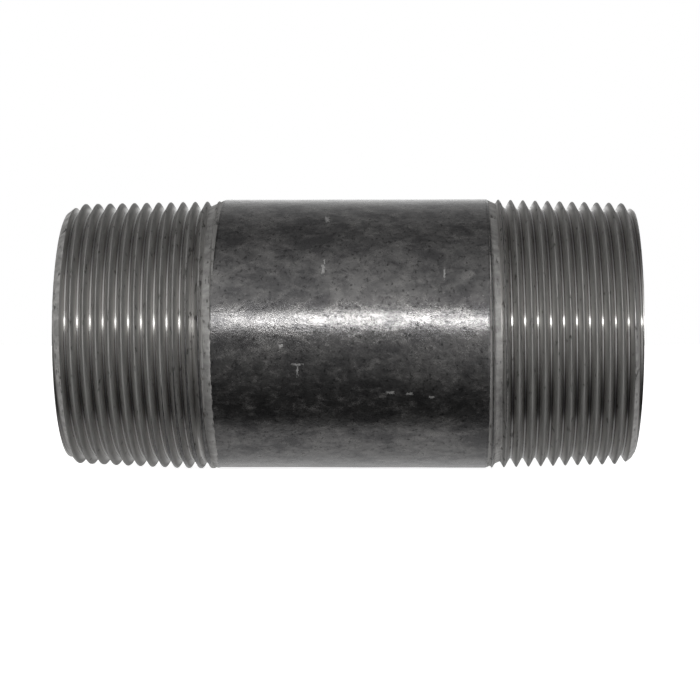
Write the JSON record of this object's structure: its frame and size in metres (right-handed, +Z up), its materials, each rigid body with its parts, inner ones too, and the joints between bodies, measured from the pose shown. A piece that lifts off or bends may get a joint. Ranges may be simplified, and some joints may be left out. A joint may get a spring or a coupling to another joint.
{
  "type": "threaded pipe nipple",
  "caption": "Length of black steel pipe with a right-hand taper pipe thread cut on each end and a straight open bore, for joining two female-threaded fittings.",
  "frame": {"origin": "middle of the pipe, on its own axis", "axes": "+X along the pipe from the left thread to the right thread, +Z up as the pipe lies, so the pipe rests on its barrel at -Z"},
  "size_m": [0.1016, 0.0482, 0.0482],
  "materials": {
    "black_pipe_surface": "black mill scale under thin lacquer, semi-gloss, mottled",
    "cut_thread_steel": "die-cut, oiled, fine turning lines round the pipe"
  },
  "bodies": {
    "root": {"thread_left": "cut_thread_steel", "barrel": "black_pipe_surface", "thread_right": "cut_thread_steel"}
  },
  "joints": []
}
